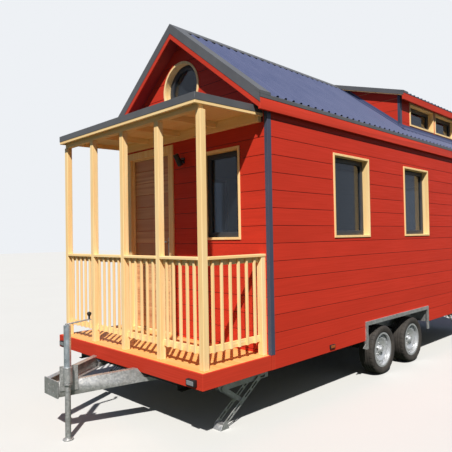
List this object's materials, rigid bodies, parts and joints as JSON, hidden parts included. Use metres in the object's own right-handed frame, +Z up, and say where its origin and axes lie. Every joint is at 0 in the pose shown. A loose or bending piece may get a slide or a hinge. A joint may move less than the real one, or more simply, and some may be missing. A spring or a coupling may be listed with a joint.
{
  "type": "tiny house on wheels",
  "caption": "Red boarded tiny house on a tandem-axle trailer, with a metal gable roof, a dormer on each side and a pine porch with posts and railing at the drawbar end.",
  "frame": {"origin": "on the ground under the middle of the house and trailer", "axes": "+Z up, the porch and drawbar face -Y, the side railing of the porch is at +X"},
  "size_m": [2.528, 7.213, 3.974],
  "materials": {
    "red_boards": "red stain, satin",
    "pine": "oiled pine, matte",
    "floor_boards": "matte",
    "roof_sheet": "satin",
    "flashing": "satin",
    "anthracite_trim": "satin",
    "anthracite_sash": "matte",
    "glass": "clear",
    "galvanised": "galvanised, dull",
    "chassis_steel": "dark, matte",
    "wheel_steel": "silver paint",
    "tyre_rubber": "matte",
    "black_plastic": "matte",
    "door_steel": "satin",
    "lamp_black": "satin"
  },
  "bodies": {
    "house": {"axles": "chassis_steel", "chassis_frame": "chassis_steel", "corner_trims": "anthracite_trim", "door_frame": "pine", "dormer_flashings": "flashing", "dormer_roof": "red_boards", "dormer_walls": "red_boards", "drawbar_beams": "galvanised", "drawbar_nose": "galvanised", "fascia_boards": "red_boards", "front_wall_left": "red_boards", "front_wall_right": "red_boards", "front_wall_top": "red_boards", "jack_tube": "galvanised", "marker_lamps": "black_plastic", "platform_floor": "floor_boards", "porch_deck": "pine", "porch_fascia": "pine", "porch_frame": "pine", "porch_posts": "pine", "porch_railings": "pine", "porch_roof": "pine", "porch_roof_edge": "flashing", "porch_roof_sheet": "roof_sheet", "porch_skirt": "red_boards", "rear_wall": "red_boards", "roof_flashings": "flashing", "roof_left": "red_boards", "roof_right": "red_boards", "roof_sheets": "roof_sheet", "side_walls": "red_boards", "steady_brackets": "galvanised", "wall_lamp": "lamp_black", "wheel_boxes": "galvanised", "window_casings": "pine", "window_frames": "anthracite_sash", "window_glass": "glass"},
    "door": {"door_leaf": "pine", "door_fittings": "door_steel"},
    "wheel_front_right": {"tyre_front_right": "tyre_rubber", "rim_front_right": "wheel_steel"},
    "wheel_rear_right": {"tyre_rear_right": "tyre_rubber", "rim_rear_right": "wheel_steel"},
    "wheel_front_left": {"tyre_front_left": "tyre_rubber", "rim_front_left": "wheel_steel"},
    "wheel_rear_left": {"tyre_rear_left": "tyre_rubber", "rim_rear_left": "wheel_steel"},
    "jack_leg": {"jack_leg": "galvanised"},
    "jack_crank": {"jack_crank": "galvanised", "crank_knob": "black_plastic"},
    "steady_link_front_right": {"steady_link_front_right": "galvanised"},
    "steady_arm_front_right": {"steady_arm_front_right": "galvanised"},
    "steady_link_rear_right": {"steady_link_rear_right": "galvanised"},
    "steady_arm_rear_right": {"steady_arm_rear_right": "galvanised"},
    "steady_link_front_left": {"steady_link_front_left": "galvanised"},
    "steady_arm_front_left": {"steady_arm_front_left": "galvanised"},
    "steady_link_rear_left": {"steady_link_rear_left": "galvanised"},
    "steady_arm_rear_left": {"steady_arm_rear_left": "galvanised"}
  },
  "joints": [
    {"name": "door_swing", "type": "hinge", "parent": "house", "child": "door", "pos_m": [-0.9675, -2.0035, 1.62], "axis": [0, 0, 1], "range_deg": [0, 90]},
    {"name": "wheel_front_right_spin", "type": "hinge", "parent": "house", "child": "wheel_front_right", "pos_m": [1.115, -0.0025, 0.29], "axis": [1, 0, 0], "continuous": true},
    {"name": "wheel_rear_right_spin", "type": "hinge", "parent": "house", "child": "wheel_rear_right", "pos_m": [1.115, 0.7775, 0.29], "axis": [1, 0, 0], "continuous": true},
    {"name": "wheel_front_left_spin", "type": "hinge", "parent": "house", "child": "wheel_front_left", "pos_m": [-1.115, -0.0025, 0.29], "axis": [1, 0, 0], "continuous": true},
    {"name": "wheel_rear_left_spin", "type": "hinge", "parent": "house", "child": "wheel_rear_left", "pos_m": [-1.115, 0.7775, 0.29], "axis": [1, 0, 0], "continuous": true},
    {"name": "jack_lift", "type": "slide", "parent": "house", "child": "jack_leg", "axis": [0, 0, 1], "range_m": [0, 0.38]},
    {"name": "crank_turn", "type": "hinge", "parent": "house", "child": "jack_crank", "pos_m": [0.19599, -3.5485, 0.96], "axis": [0, 0, 1], "continuous": true},
    {"name": "steady_link_front_right_fold", "type": "hinge", "parent": "house", "child": "steady_link_front_right", "pos_m": [0.965, -2.5065, 0.352], "axis": [1, 0, 0], "range_deg": [0, 27]},
    {"name": "steady_arm_front_right_turn", "type": "hinge", "parent": "steady_link_front_right", "child": "steady_arm_front_right", "pos_m": [0.965, -2.27833, 0.1985], "axis": [1, 0, 0], "range_deg": [-54, 0]},
    {"name": "steady_link_rear_right_fold", "type": "hinge", "parent": "house", "child": "steady_link_rear_right", "pos_m": [0.965, 3.1575, 0.352], "axis": [-1, 0, 0], "range_deg": [0, 27]},
    {"name": "steady_arm_rear_right_turn", "type": "hinge", "parent": "steady_link_rear_right", "child": "steady_arm_rear_right", "pos_m": [0.965, 2.92933, 0.1985], "axis": [-1, 0, 0], "range_deg": [-54, 0]},
    {"name": "steady_link_front_left_fold", "type": "hinge", "parent": "house", "child": "steady_link_front_left", "pos_m": [-0.965, -2.5065, 0.352], "axis": [1, 0, 0], "range_deg": [0, 27]},
    {"name": "steady_arm_front_left_turn", "type": "hinge", "parent": "steady_link_front_left", "child": "steady_arm_front_left", "pos_m": [-0.965, -2.27833, 0.1985], "axis": [1, 0, 0], "range_deg": [-54, 0]},
    {"name": "steady_link_rear_left_fold", "type": "hinge", "parent": "house", "child": "steady_link_rear_left", "pos_m": [-0.965, 3.1575, 0.352], "axis": [-1, 0, 0], "range_deg": [0, 27]},
    {"name": "steady_arm_rear_left_turn", "type": "hinge", "parent": "steady_link_rear_left", "child": "steady_arm_rear_left", "pos_m": [-0.965, 2.92933, 0.1985], "axis": [-1, 0, 0], "range_deg": [-54, 0]}
  ],
  "couplings": [
    {"joint": "steady_arm_front_right_turn", "follows": "steady_link_front_right_fold", "ratio": -2},
    {"joint": "steady_arm_rear_right_turn", "follows": "steady_link_rear_right_fold", "ratio": -2},
    {"joint": "steady_arm_front_left_turn", "follows": "steady_link_front_left_fold", "ratio": -2},
    {"joint": "steady_arm_rear_left_turn", "follows": "steady_link_rear_left_fold", "ratio": -2}
  ]
}
